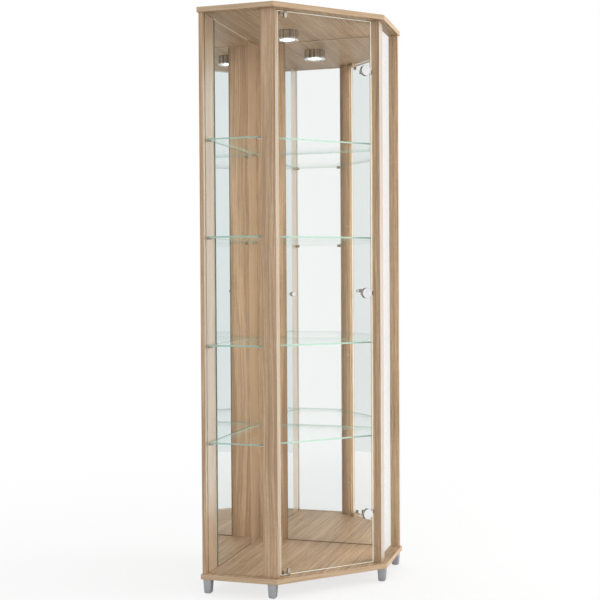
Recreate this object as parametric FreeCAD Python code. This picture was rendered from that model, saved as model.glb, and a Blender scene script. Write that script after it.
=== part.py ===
import FreeCAD, Part
import math
import os

# A five-sided corner curio cabinet: two panels, a board along each room wall with a mirror on
# it, two front posts, side panes, glass shelves, a lamp and a frameless glass door.
# Millimetres, +Z up. The origin is under the middle of the panels, on the floor. The room
# corner is at +Y and the door faces -Y. Wall-side pieces are drawn in a corner frame, whose
# X and Y run along the two walls from the room corner, and are turned into place.

Vector = FreeCAD.Vector
UP = Vector(0, 0, 1)
DOWN = Vector(0, 0, -1)
BACK = Vector(0, 1, 0)
HALF_DIAGONAL = math.sqrt(0.5)

# ---- overall ----
overall_height = 1720.0
wall_leg = 500.0                # back edge of the panels along each wall
side_return = 235.0             # short side of the panels, square to the wall
panel_thickness = 15.0
panel_edge_round = 1.0
foot_height = 43.0

# ---- feet ----
foot_top_width = 26.0
foot_bottom_width = 22.0
foot_inset = 4.5                # panel edge to the foot's upright sides
foot_corner_round = 2.0
foot_stud_radius = 3.0
foot_stud_in_foot = 20.0
foot_stud_in_panel = 10.0

# ---- boards along the walls ----
board_setback = 4.0             # panel's back edge to the board's outer face
board_thickness = 12.0
board_end_setback = 4.0
board_edge_round = 0.8

# ---- front posts ----
post_thickness = 22.0
post_width = 45.0
post_side_setback = 16.0
post_front_setback = 1.0

# ---- mirrors, glued to the boards' inner faces ----
mirror_thickness = 3.0
mirror_inset = 102.2            # each board's corner end to its mirror
mirror_end = 405.0              # along the wall from the room corner
mirror_arris = 0.8
mirror_play = 0.5

# ---- side panes ----
side_glass_thickness = 4.0
pane_setback = 3.0              # a post's outer face to the pane
slot_play = 0.3                 # each side of a pane in its groove
slot_end_play = 0.5
board_groove_depth = 5.0
post_groove_depth = 8.0
panel_groove_depth = 5.0

# ---- shelves ----
shelf_thickness = 5.0
shelf_edge_round = 0.8
shelf_back_gap = 5.0            # board to shelf, past the mirror
shelf_side_gap = 3.0
shelf_post_gap = 1.4
first_hole_height = 27.0        # base panel's upper face to the lowest possible pin
hole_pitch = 32.0
shelf_shares = [0.214, 0.389, 0.583, 0.758]     # of the inner height, before whole pitches
pin_radius = 2.5
pin_in_board = 8.0
pin_out_of_board = 14.0
pin_from_corner = 60.0
pin_in_post = 4.4               # a post's inner face to the pin line

# ---- door ----
door_thickness = 5.0
door_setback = 28.0             # panel's front edge to the door's front face
door_side_gap = 2.5
door_end_gap = 3.0
door_edge_round = 0.8

# ---- door stop ----
stop_gap = 0.5
stop_reach = 7.7                # past the post's front inner corner
stop_depth = 20.0
stop_chamfer = 9.0

# ---- hinges ----
hinge_spacing = 672.0
pivot_from_edge = 16.7
pivot_behind_face = 9.5
cap_radius = 16.0
cap_height = 5.0
cap_edge_round = 1.2
cap_from_edge = 4.2
glass_hole_radius = 13.0
spigot_play = 0.2
flange_thickness = 1.5
ear_thickness = 3.0
ear_radius = 4.0
hinge_pin_radius = 2.0
hinge_pin_overhang = 0.5
knuckle_radius = 3.6
knuckle_half_height = 6.0
knuckle_play = 0.4
knuckle_end_play = 0.3
running_play = 0.05
neck_right_side = 1.0           # from the pivot line
arm_swing_clearance = 2.3
arm_thickness = 4.5
arm_plate_from_corner = 14.0
arm_plate_length = 22.0
arm_plate_thickness = 2.5
arm_plate_height = 30.0
arm_screw_spacing = 20.0
arm_screw_length = 15.0
cap_screw_back = 7.5
cap_screw_half_spacing = 6.0
cap_screw_radius = 1.5
cap_screw_in_cap = 3.2

# ---- knob, strikes and catches ----
knob_from_edge = 40.0
knob_radius = 6.5
knob_length = 16.0
knob_neck_radius = 4.6
knob_neck_length = 3.5
knob_edge_round = 1.2
knob_screw_radius = 2.0
knob_screw_in_knob = 8.0
knob_screw_head_radius = 4.5
knob_screw_head_height = 2.5
strike_from_edge = 25.7
strike_width = 8.0
strike_height = 18.0
strike_thickness = 1.0
catch_gap = 0.3
catch_width = 24.0
catch_depth = 16.0
catch_height = 12.0
magnet_width = 14.0
magnet_thickness = 3.0
magnet_height = 8.0

# ---- lamp ----
lamp_from_corner = 249.0
lamp_radius = 36.0
lamp_height = 28.0
lamp_wall = 1.5
lamp_top_thickness = 2.0
lamp_ledge = 2.5
lamp_ledge_height = 9.0
lamp_board_thickness = 1.6
lamp_bezel_height = 4.0
lamp_bezel_opening = 25.0
lamp_lens_lap = 2.4
lamp_lens_thickness = 2.0
lamp_sleeve_wall = 1.4
lamp_play = 0.1
lamp_screw_spacing = 38.0
cable_hole_radius = 5.0
grommet_bore_radius = 3.5
grommet_flange_radius = 8.0
grommet_flange_thickness = 1.5

# ---- fasteners ----
fastener_play = 0.05
panel_screw_radius = 2.5
panel_screw_head_radius = 4.5
panel_screw_length = 45.0
panel_screw_inset = 10.0
board_screw_count = 4           # along each board, at its top and at its foot
small_screw_radius = 1.75
small_screw_head_radius = 3.3
pan_head_radius = 2.8
pan_head_height = 1.5
corner_screw_length = 40.0
corner_screw_rows = 4
corner_screw_end_inset = 150.0
stop_screw_length = 28.0
stop_screw_rows = 4
stop_screw_end_inset = 120.0
catch_screw_length = 22.0
lamp_screw_length = 12.0
recess_radius = 1.5
recess_depth = 1.6
pan_recess_share = 0.6          # of the head's height
hole_tip_play = 0.5

# ---- places worked out from the sizes above ----
base_top = foot_height + panel_thickness
ceiling = overall_height - panel_thickness
inner_height = ceiling - base_top
mid_height = (base_top + ceiling) / 2
corner_y = (wall_leg + side_return) * HALF_DIAGONAL / 2
board_inner = board_setback + board_thickness
board_end = wall_leg - board_end_setback
post_outer = wall_leg - post_side_setback
post_inner = post_outer - post_thickness
post_front = side_return - post_front_setback
post_back = post_front - post_width
post_middle = (post_inner + post_outer) / 2
pane_inner = post_outer - pane_setback - side_glass_thickness
slot_inner = pane_inner - slot_play
slot_width = side_glass_thickness + 2 * slot_play
pin_line = post_inner + pin_in_post
shelf_pitches = [round(share * inner_height / hole_pitch) for share in shelf_shares]
pin_heights = [base_top + first_hole_height + hole_pitch * count for count in shelf_pitches]
shelf_heights = [height + pin_radius for height in pin_heights]
post_corner_x = (post_inner - post_front) * HALF_DIAGONAL
post_corner_y = corner_y - (post_inner + post_front) * HALF_DIAGONAL
door_front = -corner_y + door_setback
door_back = door_front + door_thickness
door_edge = post_corner_x - door_side_gap
door_bottom = base_top + door_end_gap
door_top = ceiling - door_end_gap
pivot_x = door_edge - pivot_from_edge
pivot_y = door_front + pivot_behind_face
cap_x = door_edge - cap_from_edge - cap_radius
hinge_heights = [mid_height - hinge_spacing, mid_height, mid_height + hinge_spacing]
strike_x = -door_edge + strike_from_edge
knob_x = -door_edge + knob_from_edge
catch_front = door_back + strike_thickness + catch_gap
lamp_y = corner_y - lamp_from_corner
lamp_bottom = ceiling - lamp_height


# ---- helpers ----
def box(x_low, x_high, y_low, y_high, z_low, z_high):
    return Part.makeBox(x_high - x_low, y_high - y_low, z_high - z_low, Vector(x_low, y_low, z_low))


def rod(radius, length, base, direction=UP):
    return Part.makeCylinder(radius, length, base, direction)


def prism(points, z_low, z_high):
    corners = [Vector(x, y, z_low) for x, y in points]
    face = Part.Face(Part.makePolygon(corners + corners[:1]))
    return face.extrude(Vector(0, 0, z_high - z_low))


def rounded(shape, radius):
    return shape.makeFillet(radius, shape.Edges)


def round_rim(shape, radius, plane_point, plane_normal):
    rim = []
    for edge in shape.Edges:
        offset = (edge.CenterOfMass - plane_point).dot(plane_normal)
        if len(edge.Vertexes) == 1 and abs(offset) < 0.001:
            rim.append(edge)
    return shape.makeFillet(radius, rim)


def aimed(shape, point, direction):
    placed = shape.copy()
    placed.Placement = FreeCAD.Placement(point, FreeCAD.Rotation(UP, direction))
    return placed


def mirrored(shape):
    return shape.mirror(Vector(0, 0, 0), Vector(1, 0, 0))


def on_left(shape):
    """Turns a shape from the corner frame, X along the left wall, into the cabinet's frame."""
    placed = shape.copy()
    placed.rotate(Vector(0, 0, 0), UP, 225)
    placed.translate(Vector(0, corner_y, 0))
    return placed


def on_right(shape):
    return mirrored(on_left(shape))


def on_both(shapes):
    return [on_left(shape) for shape in shapes] + [on_right(shape) for shape in shapes]


def without(shape, cutters):
    return shape.cut(Part.makeCompound(cutters))


def rows(count, end_inset):
    step = (inner_height - 2 * end_inset) / (count - 1)
    return [base_top + end_inset + step * row for row in range(count)]


# ---- fastener shapes, head at the origin and tip along +Z ----
def hex_recess(depth):
    corners = []
    for side in range(6):
        angle = math.radians(60 * side)
        corners.append((recess_radius * math.cos(angle), recess_radius * math.sin(angle)))
    return prism(corners, 0, depth)


def countersunk(radius, head_radius, length):
    cone = Part.makeCone(head_radius, radius, head_radius - radius)
    return cone.fuse(rod(radius, length, Vector(0, 0, 0))).removeSplitter()


def countersunk_screw(radius, head_radius, length):
    return countersunk(radius, head_radius, length).cut(hex_recess(recess_depth))


def countersunk_hole(radius, head_radius, length):
    play = fastener_play
    return countersunk(radius + play, head_radius + play, length + hole_tip_play)


def pan_screw(radius, head_radius, head_height, length):
    head = rod(head_radius, head_height, Vector(0, 0, -head_height))
    shank = rod(radius, length, Vector(0, 0, 0))
    recess = hex_recess(head_height * pan_recess_share)
    recess.translate(Vector(0, 0, -head_height))
    return head.fuse(shank).removeSplitter().cut(recess)


def plain_hole(radius, length):
    return rod(radius + fastener_play, length + hole_tip_play, Vector(0, 0, 0))


# ---- panels ----
def post_screw_places():
    """Corner-frame spots (x, y) over the left post."""
    wood = post_width - post_groove_depth
    return [(post_middle, post_back + post_groove_depth + wood / 4),
            (post_middle, post_front - wood / 4)]


def board_screw_places(start):
    """Corner-frame spots (x, y) over a board that begins at start."""
    first = start + 3 * panel_screw_inset
    step = (slot_inner - panel_screw_inset - first) / (board_screw_count - 1)
    line = board_setback + board_thickness / 2
    return [(first + step * count, line) for count in range(board_screw_count)]


def over_panel(shape, height, direction):
    """The same fastener shape over every board and post, at one height."""
    placed = []
    for turned, start in ((on_left, board_setback), (on_right, board_inner)):
        for x, y in post_screw_places() + board_screw_places(start):
            placed.append(turned(aimed(shape, Vector(x, y, height), direction)))
    return placed


def panel_outline(z_low, z_high):
    points = [(0, 0), (wall_leg, 0), (wall_leg, side_return), (side_return, wall_leg), (0, wall_leg)]
    panel = on_left(prism(points, z_low, z_high))
    level = [edge for edge in panel.Edges if abs(edge.Vertexes[0].Z - edge.Vertexes[1].Z) < 1]
    return panel.makeFillet(panel_edge_round, level)


def pane_groove(z_low, z_high):
    return box(slot_inner, slot_inner + slot_width, board_inner - board_groove_depth,
               post_back + post_groove_depth, z_low, z_high)


def panel_screw_holes(height, direction):
    hole = countersunk_hole(panel_screw_radius, panel_screw_head_radius, panel_screw_length)
    return over_panel(hole, height, direction)


def top_panel():
    groove = pane_groove(ceiling - 1, ceiling + panel_groove_depth)
    cutters = [on_left(groove), on_right(groove)]
    cutters += panel_screw_holes(overall_height, DOWN)
    cutters += lamp_screw_set(plain_hole(small_screw_radius, lamp_screw_length))
    cutters.append(catch_screw_at(catch_hole(), ceiling - catch_height, UP))
    cutters.append(rod(cable_hole_radius, 2 * panel_thickness, Vector(0, lamp_y, ceiling - 1)))
    return without(panel_outline(ceiling, overall_height), cutters)


def base_panel():
    groove = pane_groove(base_top - panel_groove_depth, base_top + 1)
    cutters = [on_left(groove), on_right(groove)]
    cutters += panel_screw_holes(foot_height, UP)
    cutters += stud_set(foot_stud_radius + fastener_play, hole_tip_play)
    cutters.append(catch_screw_at(catch_hole(), base_top + catch_height, DOWN))
    return without(panel_outline(foot_height, base_top), cutters)


def panel_screws():
    screw = countersunk_screw(panel_screw_radius, panel_screw_head_radius, panel_screw_length)
    down = over_panel(screw, overall_height, DOWN)
    return Part.makeCompound(down + over_panel(screw, foot_height, UP))


# ---- feet ----
def foot_corners():
    """Upright corner of each foot in the corner frame, and the way its taper runs."""
    near = foot_inset
    far = wall_leg - foot_inset
    front = side_return - foot_inset
    return {"foot_back": (near, near, 1, 1), "foot_left": (far, near, -1, 1),
            "foot_front_left": (far, front, -1, -1)}


def foot(x, y, x_way, y_way):
    def square(width, z):
        x_in = x + x_way * width
        y_in = y + y_way * width
        corners = [Vector(x, y, z), Vector(x_in, y, z), Vector(x_in, y_in, z), Vector(x, y_in, z)]
        return Part.makePolygon(corners + corners[:1])

    body = Part.makeLoft([square(foot_bottom_width, 0), square(foot_top_width, foot_height)], True)
    upright = [edge for edge in body.Edges if abs(edge.Vertexes[0].Z - edge.Vertexes[1].Z) > 1]
    body = body.makeFillet(foot_corner_round, upright)
    socket = rod(foot_stud_radius + fastener_play, foot_stud_in_foot + hole_tip_play + 1,
                 Vector(x + x_way * foot_bottom_width / 2, y + y_way * foot_bottom_width / 2,
                        foot_height - foot_stud_in_foot - hole_tip_play))
    return body.cut(socket)


def stud_set(radius, tip_play):
    studs = []
    length = foot_stud_in_foot + foot_stud_in_panel + 2 * tip_play
    for name, (x, y, x_way, y_way) in foot_corners().items():
        centre = Vector(x + x_way * foot_bottom_width / 2, y + y_way * foot_bottom_width / 2,
                        foot_height - foot_stud_in_foot - tip_play)
        stud = rod(radius, length, centre)
        studs.append(on_left(stud))
        if name != "foot_back":
            studs.append(on_right(stud))
    return studs


def feet():
    made = {}
    for name, corner in foot_corners().items():
        made[name] = on_left(foot(*corner))
        if name != "foot_back":
            made[name.replace("left", "right")] = on_right(foot(*corner))
    return made


# ---- boards, posts and mirrors ----
def shelf_pin_set(radius, inner, outer):
    """Pin shapes in the corner frame, on the left-hand board and the left post."""
    pins = []
    for z in pin_heights:
        for x in (pin_line, pin_from_corner):
            pins.append(rod(radius, inner + outer, Vector(x, board_inner - inner, z), BACK))
        pins.append(rod(radius, inner + outer, Vector(pin_line, post_back - outer, z), BACK))
    return pins


def pin_holes():
    return shelf_pin_set(pin_radius + fastener_play, pin_in_board + hole_tip_play, 1)


def shelf_pins():
    pins = shelf_pin_set(pin_radius, pin_in_board, pin_out_of_board)
    return Part.makeCompound(on_both([rounded(pin, pin_radius / 5) for pin in pins]))


def post_pin_holes():
    holes = []
    for z in pin_heights:
        base = Vector(pin_line, post_back - 1, z)
        holes.append(rod(pin_radius + fastener_play, pin_in_board + hole_tip_play + 1, base, BACK))
    return holes


def back_board(start):
    """A board along a wall, from start to its outer end, with the pane's groove."""
    body = box(start, board_end, board_setback, board_inner, base_top, ceiling)
    cutters = [pane_groove(base_top - 1, ceiling + 1)] + pin_holes()
    return without(rounded(body, board_edge_round), cutters)


def front_post():
    body = box(post_inner, post_outer, post_back, post_front, base_top, ceiling)
    cutters = [pane_groove(base_top - 1, ceiling + 1)] + post_pin_holes()
    return without(rounded(body, board_edge_round), cutters)


def with_panel_screw_holes(shape):
    cutters = panel_screw_holes(overall_height, DOWN) + panel_screw_holes(foot_height, UP)
    return without(shape, cutters)


def corner_screw_set(shape):
    line = board_setback + board_thickness / 2
    heights = rows(corner_screw_rows, corner_screw_end_inset)
    return [on_left(aimed(shape, Vector(line, board_setback, z), BACK)) for z in heights]


def corner_holes():
    hole = countersunk_hole(small_screw_radius, small_screw_head_radius, corner_screw_length)
    return corner_screw_set(hole)


def mirror(start):
    """A mirror on the face of the board that begins at start, its front edges bevelled."""
    face = board_inner + mirror_thickness
    body = box(start + mirror_inset, mirror_end, board_inner, face, base_top, ceiling - mirror_play)
    front = [edge for edge in body.Edges if all(abs(end.Y - face) < 0.001 for end in edge.Vertexes)]
    return body.makeChamfer(mirror_arris, front)


def side_pane():
    y_low = board_inner - board_groove_depth + slot_end_play
    y_high = post_back + post_groove_depth - slot_end_play
    return box(pane_inner, pane_inner + side_glass_thickness, y_low, y_high,
               base_top - panel_groove_depth, ceiling + panel_groove_depth - slot_end_play)


# ---- shelves ----
def shelf(height):
    near = board_inner + shelf_back_gap
    far = pane_inner - shelf_side_gap
    front_sum = post_inner + post_back - shelf_post_gap / HALF_DIAGONAL
    points = [(near, near), (far, near), (far, front_sum - far), (front_sum - far, far), (near, far)]
    return rounded(on_left(prism(points, height, height + shelf_thickness)), shelf_edge_round)


# ---- door stop ----
def stop_points():
    """Outline against the left post's inner face, front face parallel to the door."""
    front = door_back + stop_gap
    back = front + stop_depth
    right = -post_corner_x + stop_reach
    front_left = -post_corner_x - (front - post_corner_y)
    back_left = -post_corner_x - (back - post_corner_y)
    return [(front_left, front), (right, front), (right, front + stop_depth - stop_chamfer),
            (right - stop_chamfer, back), (back_left, back)]


def stop_screw_set(shape):
    """Screws square to the post's inner face, from the middle of the batten's chamfer."""
    into_post = Vector(-HALF_DIAGONAL, -HALF_DIAGONAL, 0)
    x = -post_corner_x + stop_reach - stop_chamfer / 2
    y = door_back + stop_gap + stop_depth - stop_chamfer / 2
    heights = rows(stop_screw_rows, stop_screw_end_inset)
    return [aimed(shape, Vector(x, y, z), into_post) for z in heights]


def stop_holes():
    hole = countersunk_hole(small_screw_radius, small_screw_head_radius, stop_screw_length)
    return stop_screw_set(hole)


def stop_batten():
    return without(prism(stop_points(), base_top, ceiling), stop_holes())


# ---- door and its fittings ----
def door_glass():
    pane = rounded(box(-door_edge, door_edge, door_front, door_back, door_bottom, door_top),
                   door_edge_round)
    through = 2 * door_thickness
    start = door_front - door_thickness / 2
    holes = [rod(glass_hole_radius, through, Vector(cap_x, start, z), BACK) for z in hinge_heights]
    holes.append(rod(knob_screw_radius + fastener_play, through,
                     Vector(knob_x, start, mid_height), BACK))
    return without(pane, holes)


def cap_screw_set(shape, z):
    """Two screws from the back of the hinge cup, through the glass hole, into the cap."""
    y = door_back + flange_thickness
    placed = []
    for side in (-cap_screw_half_spacing, cap_screw_half_spacing):
        placed.append(aimed(shape, Vector(cap_x - cap_screw_back, y, z + side), Vector(0, -1, 0)))
    return placed


def cap_screw_length():
    return flange_thickness + door_thickness + cap_screw_in_cap


def hinge_cap(z):
    front = Vector(cap_x, door_front - cap_height, z)
    disc = round_rim(rod(cap_radius, cap_height, front, BACK), cap_edge_round, front, BACK)
    return without(disc, cap_screw_set(plain_hole(cap_screw_radius, cap_screw_length()), z))


def hinge_cup(z):
    body = rod(glass_hole_radius - spigot_play, door_thickness, Vector(cap_x, door_front, z), BACK)
    flange = rod(cap_radius, flange_thickness, Vector(cap_x, door_back, z), BACK)
    inside = knuckle_half_height + knuckle_end_play
    parts = [flange]
    for low in (z - inside - ear_thickness, z + inside):
        high = low + ear_thickness
        parts.append(box(pivot_x - ear_radius, pivot_x + ear_radius, door_back, pivot_y, low, high))
        parts.append(rod(ear_radius, ear_thickness, Vector(pivot_x, pivot_y, low)))
    body = body.multiFuse(parts).removeSplitter()
    reach = inside + ear_thickness
    cutters = cap_screw_set(plain_hole(cap_screw_radius, cap_screw_length()), z)
    cutters.append(rod(knuckle_radius + knuckle_play, 2 * inside,
                       Vector(pivot_x, pivot_y, z - inside)))
    cutters.append(rod(hinge_pin_radius + fastener_play, 2 * reach + 2,
                       Vector(pivot_x, pivot_y, z - reach - 1)))
    for cutter in cutters:
        body = body.cut(cutter)
    return body


def hinge_pin(z):
    half = knuckle_half_height + knuckle_end_play + ear_thickness + hinge_pin_overhang
    pin = rod(hinge_pin_radius, 2 * half, Vector(pivot_x, pivot_y, z - half))
    return rounded(pin, hinge_pin_overhang)


def swing_radius():
    """The furthest that the door's hinge-side edge and caps reach from the pivot line."""
    glass = math.hypot(pivot_from_edge, pivot_behind_face)
    cap = math.hypot(cap_x + cap_radius - pivot_x, pivot_behind_face + cap_height)
    return max(glass, cap)


def on_arm_plate(along, off_post):
    """A point on the right post's inner face: along it from its front corner, and off it."""
    x = post_corner_x + (along - off_post) * HALF_DIAGONAL
    y = post_corner_y + (along + off_post) * HALF_DIAGONAL
    return (x, y)


def arm_screw_set(shape, z):
    middle = arm_plate_from_corner + arm_plate_length / 2
    x, y = on_arm_plate(middle, arm_plate_thickness)
    into_post = Vector(HALF_DIAGONAL, -HALF_DIAGONAL, 0)
    half = arm_screw_spacing / 2
    return [aimed(shape, Vector(x, y, z + side), into_post) for side in (-half, half)]


def arm_holes(z):
    hole = countersunk_hole(small_screw_radius, small_screw_head_radius, arm_screw_length)
    return arm_screw_set(hole, z)


def hinge_arm(z):
    """The fixed half: a knuckle on the pivot, a neck cranked round the door's edge, a plate."""
    clear = swing_radius() + arm_swing_clearance
    first = arm_plate_from_corner
    last = first + arm_plate_length
    half_plate = arm_plate_height / 2
    bar_start = first + arm_plate_length / 2 + 2
    left = pivot_x - knuckle_radius
    right = pivot_x + neck_right_side
    bar = prism([(left, pivot_y), (right, pivot_y), (right, pivot_y + clear),
                 on_arm_plate(bar_start, arm_plate_thickness / 2),
                 on_arm_plate(bar_start + arm_thickness * 1.3, arm_plate_thickness / 2),
                 (left, pivot_y + clear + arm_thickness)],
                z - knuckle_half_height, z + knuckle_half_height)
    plate = prism([on_arm_plate(first, 0), on_arm_plate(last, 0),
                   on_arm_plate(last, arm_plate_thickness), on_arm_plate(first, arm_plate_thickness)],
                  z - half_plate, z + half_plate)
    base = Vector(pivot_x, pivot_y, z - knuckle_half_height)
    knuckle = rod(knuckle_radius, 2 * knuckle_half_height, base)
    body = bar.multiFuse([plate, knuckle]).removeSplitter()
    bore = rod(hinge_pin_radius + running_play, 2 * knuckle_half_height, base)
    return without(body, [bore] + arm_holes(z))


def door_knob():
    head_length = knob_length - knob_neck_length
    front = Vector(knob_x, door_front - knob_length, mid_height)
    neck_base = Vector(knob_x, door_front - knob_neck_length, mid_height)
    head = rounded(rod(knob_radius, head_length, front, BACK), knob_edge_round)
    body = head.fuse(rod(knob_neck_radius, knob_neck_length, neck_base, BACK)).removeSplitter()
    reach = knob_screw_in_knob + hole_tip_play
    return body.cut(rod(knob_screw_radius + fastener_play, reach,
                        Vector(knob_x, door_front - reach, mid_height), BACK))


def knob_screw():
    length = door_thickness + knob_screw_in_knob
    screw = pan_screw(knob_screw_radius, knob_screw_head_radius, knob_screw_head_height, length)
    return aimed(screw, Vector(knob_x, door_back, mid_height), Vector(0, -1, 0))


def strike(edge_z, inward):
    """A thin channel over the glass's edge; inward is +1 at the bottom edge, -1 at the top."""
    half = strike_width / 2
    outer_z = sorted([edge_z - inward * strike_thickness, edge_z + inward * strike_height])
    inner_z = sorted([edge_z, edge_z + inward * (strike_height + 1)])
    outer = box(strike_x - half, strike_x + half, door_front - strike_thickness,
                door_back + strike_thickness, *outer_z)
    inner = box(strike_x - half - 1, strike_x + half + 1, door_front, door_back, *inner_z)
    return outer.cut(inner)


def catch_screw_at(shape, z, direction):
    y = catch_front + (magnet_thickness + catch_depth) / 2
    return aimed(shape, Vector(strike_x, y, z), direction)


def catch_hole():
    return countersunk_hole(small_screw_radius, small_screw_head_radius, catch_screw_length)


def catch_magnet(z_middle):
    half = magnet_width / 2
    return box(strike_x - half, strike_x + half, catch_front, catch_front + magnet_thickness,
               z_middle - magnet_height / 2, z_middle + magnet_height / 2)


def catch(z_low, z_face, direction):
    half = catch_width / 2
    body = box(strike_x - half, strike_x + half, catch_front, catch_front + catch_depth,
               z_low, z_low + catch_height)
    body = body.cut(catch_magnet(z_low + catch_height / 2))
    return body.cut(catch_screw_at(catch_hole(), z_face, direction))


def catch_screws():
    screw = countersunk_screw(small_screw_radius, small_screw_head_radius, catch_screw_length)
    return Part.makeCompound([catch_screw_at(screw, ceiling - catch_height, UP),
                              catch_screw_at(screw, base_top + catch_height, DOWN)])


# ---- lamp ----
def lamp_disc(radius, z_low, z_high):
    return rod(radius, z_high - z_low, Vector(0, lamp_y, z_low))


def lamp_screw_set(shape):
    z = ceiling - lamp_top_thickness
    half = lamp_screw_spacing / 2
    return [aimed(shape, Vector(side, lamp_y, z), UP) for side in (-half, half)]


def lamp_housing():
    inner = lamp_radius - lamp_wall
    ledge = ceiling - lamp_top_thickness - lamp_ledge_height
    low = lamp_bottom + lamp_bezel_height
    cutters = [lamp_disc(inner, low - 1, ledge),
               lamp_disc(inner - lamp_ledge, ledge - 1, ceiling - lamp_top_thickness),
               lamp_disc(cable_hole_radius, ledge, ceiling + 1)]
    cutters += lamp_screw_set(plain_hole(small_screw_radius, lamp_screw_length))
    body = lamp_disc(lamp_radius, low, ceiling)
    for cutter in cutters:
        body = body.cut(cutter)
    return body


def lamp_board_bottom():
    return ceiling - lamp_top_thickness - lamp_ledge_height - lamp_board_thickness


def lamp_board():
    bottom = lamp_board_bottom()
    return lamp_disc(lamp_radius - lamp_wall - lamp_play, bottom, bottom + lamp_board_thickness)


def lamp_lens_radius():
    return lamp_bezel_opening + lamp_lens_lap


def lamp_bezel():
    """The face ring, with a sleeve inside the housing that holds the board up to its ledge."""
    ring_top = lamp_bottom + lamp_bezel_height
    sleeve_outer = lamp_radius - lamp_wall - lamp_play
    ring = round_rim(lamp_disc(lamp_radius, lamp_bottom, ring_top), panel_edge_round,
                     Vector(0, lamp_y, lamp_bottom), UP)
    body = ring.fuse(lamp_disc(sleeve_outer, ring_top, lamp_board_bottom()))
    lens_seat = ring_top - lamp_lens_thickness
    body = body.cut(lamp_disc(lamp_bezel_opening, lamp_bottom - 1, ring_top))
    body = body.cut(lamp_disc(lamp_lens_radius() + lamp_play, lens_seat, ring_top))
    return body.cut(lamp_disc(sleeve_outer - lamp_sleeve_wall, ring_top, lamp_board_bottom() + 1))


def lamp_lens():
    ring_top = lamp_bottom + lamp_bezel_height
    return lamp_disc(lamp_lens_radius(), ring_top - lamp_lens_thickness, ring_top)


def lamp_screws():
    screw = pan_screw(small_screw_radius, small_screw_head_radius, pan_head_height,
                      lamp_screw_length)
    return Part.makeCompound(lamp_screw_set(screw))


def cable_grommet():
    flange_low = overall_height - grommet_flange_thickness
    body = lamp_disc(cable_hole_radius - lamp_play, ceiling, overall_height)
    body = body.fuse(lamp_disc(grommet_flange_radius, flange_low, overall_height)).removeSplitter()
    return body.cut(lamp_disc(grommet_bore_radius, ceiling - 1, overall_height + 1))


def grommet_seat():
    return lamp_disc(grommet_flange_radius + lamp_play, overall_height - grommet_flange_thickness,
                     overall_height + 1)


def write(name, shape):
    shape.exportStep("parts/" + name + ".step")


def main():
    os.makedirs("parts", exist_ok=True)
    write("top_panel", top_panel().cut(grommet_seat()))
    write("base_panel", base_panel())
    for name, shape in feet().items():
        write(name, shape)
    write("foot_studs", Part.makeCompound(stud_set(foot_stud_radius, 0)))

    left_board = on_left(back_board(board_setback))
    right_board = on_right(back_board(board_inner))
    write("left_back_board", without(with_panel_screw_holes(left_board), corner_holes()))
    write("right_back_board", without(with_panel_screw_holes(right_board), corner_holes()))
    left_post = with_panel_screw_holes(on_left(front_post()))
    right_post = with_panel_screw_holes(on_right(front_post()))
    arm_cutters = [hole for z in hinge_heights for hole in arm_holes(z)]
    write("front_left_post", without(left_post, stop_holes()))
    write("front_right_post", without(right_post, arm_cutters))
    write("door_stop_batten", stop_batten())

    write("left_mirror", on_left(mirror(board_setback)))
    write("right_mirror", on_right(mirror(board_inner)))
    write("left_side_glass", on_left(side_pane()))
    write("right_side_glass", on_right(side_pane()))
    for number, height in enumerate(shelf_heights, 1):
        write("glass_shelf_%d" % number, shelf(height))
    write("shelf_pins", shelf_pins())

    write("door_glass", door_glass())
    cap_screw = pan_screw(cap_screw_radius, pan_head_radius, pan_head_height,
                          cap_screw_length())
    arm_screw = countersunk_screw(small_screw_radius, small_screw_head_radius, arm_screw_length)
    cap_screws = []
    arm_screws = []
    for number, z in enumerate(hinge_heights, 1):
        write("hinge_cap_%d" % number, hinge_cap(z))
        write("hinge_cup_%d" % number, hinge_cup(z))
        write("hinge_arm_%d" % number, hinge_arm(z))
        cap_screws += cap_screw_set(cap_screw, z)
        arm_screws += arm_screw_set(arm_screw, z)
    write("hinge_pins", Part.makeCompound([hinge_pin(z) for z in hinge_heights]))
    write("hinge_cap_screws", Part.makeCompound(cap_screws))
    write("hinge_arm_screws", Part.makeCompound(arm_screws))
    write("door_knob", door_knob())
    write("knob_screw", knob_screw())
    write("top_strike", strike(door_top, -1))
    write("bottom_strike", strike(door_bottom, 1))

    write("top_catch", catch(ceiling - catch_height, ceiling - catch_height, UP))
    write("bottom_catch", catch(base_top, base_top + catch_height, DOWN))
    write("top_catch_magnet", catch_magnet(ceiling - catch_height / 2))
    write("bottom_catch_magnet", catch_magnet(base_top + catch_height / 2))
    write("catch_screws", catch_screws())

    write("lamp_housing", lamp_housing())
    write("lamp_bezel", lamp_bezel())
    write("lamp_lens", lamp_lens())
    write("lamp_board", lamp_board())
    write("lamp_screws", lamp_screws())
    write("cable_grommet", cable_grommet())

    corner_screw = countersunk_screw(small_screw_radius, small_screw_head_radius, corner_screw_length)
    stop_screw = countersunk_screw(small_screw_radius, small_screw_head_radius, stop_screw_length)
    write("panel_screws", panel_screws())
    write("corner_screws", Part.makeCompound(corner_screw_set(corner_screw)))
    write("stop_screws", Part.makeCompound(stop_screw_set(stop_screw)))


main()
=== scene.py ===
import logging
import math
from dataclasses import dataclass, field
from enum import Enum
from typing import Callable, Sequence

import bpy
from mathutils import Matrix, Vector


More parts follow.
